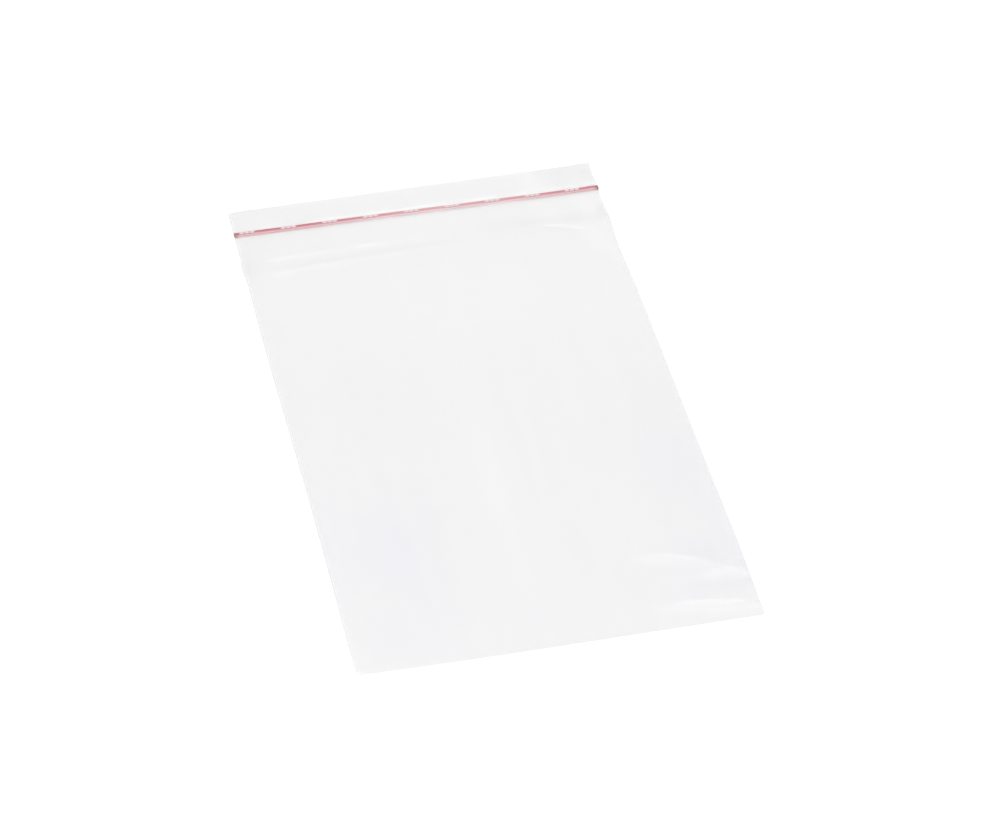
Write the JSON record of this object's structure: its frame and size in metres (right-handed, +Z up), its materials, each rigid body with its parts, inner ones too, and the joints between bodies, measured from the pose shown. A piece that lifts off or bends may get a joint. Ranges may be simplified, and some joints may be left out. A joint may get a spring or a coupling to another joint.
{
  "type": "zipper bag",
  "caption": "Flat clear film bag with a bottom fold, welded sides, open lips and a red press-to-close zip.",
  "frame": {"origin": "on the surface that the bag lies on, at the middle of its outline", "axes": "+X across the bag, +Y from the bottom fold to the mouth, +Z up through the front wall"},
  "size_m": [0.1208, 0.1932, 0.0015],
  "materials": {
    "clear_film": "blown polyethylene film, clear with a slight haze",
    "red_zip": "extruded red polyethylene strip"
  },
  "bodies": {
    "root": {"bag_film": "clear_film", "zip_groove_strip": "red_zip", "zip_rib_strip": "red_zip"}
  },
  "joints": []
}
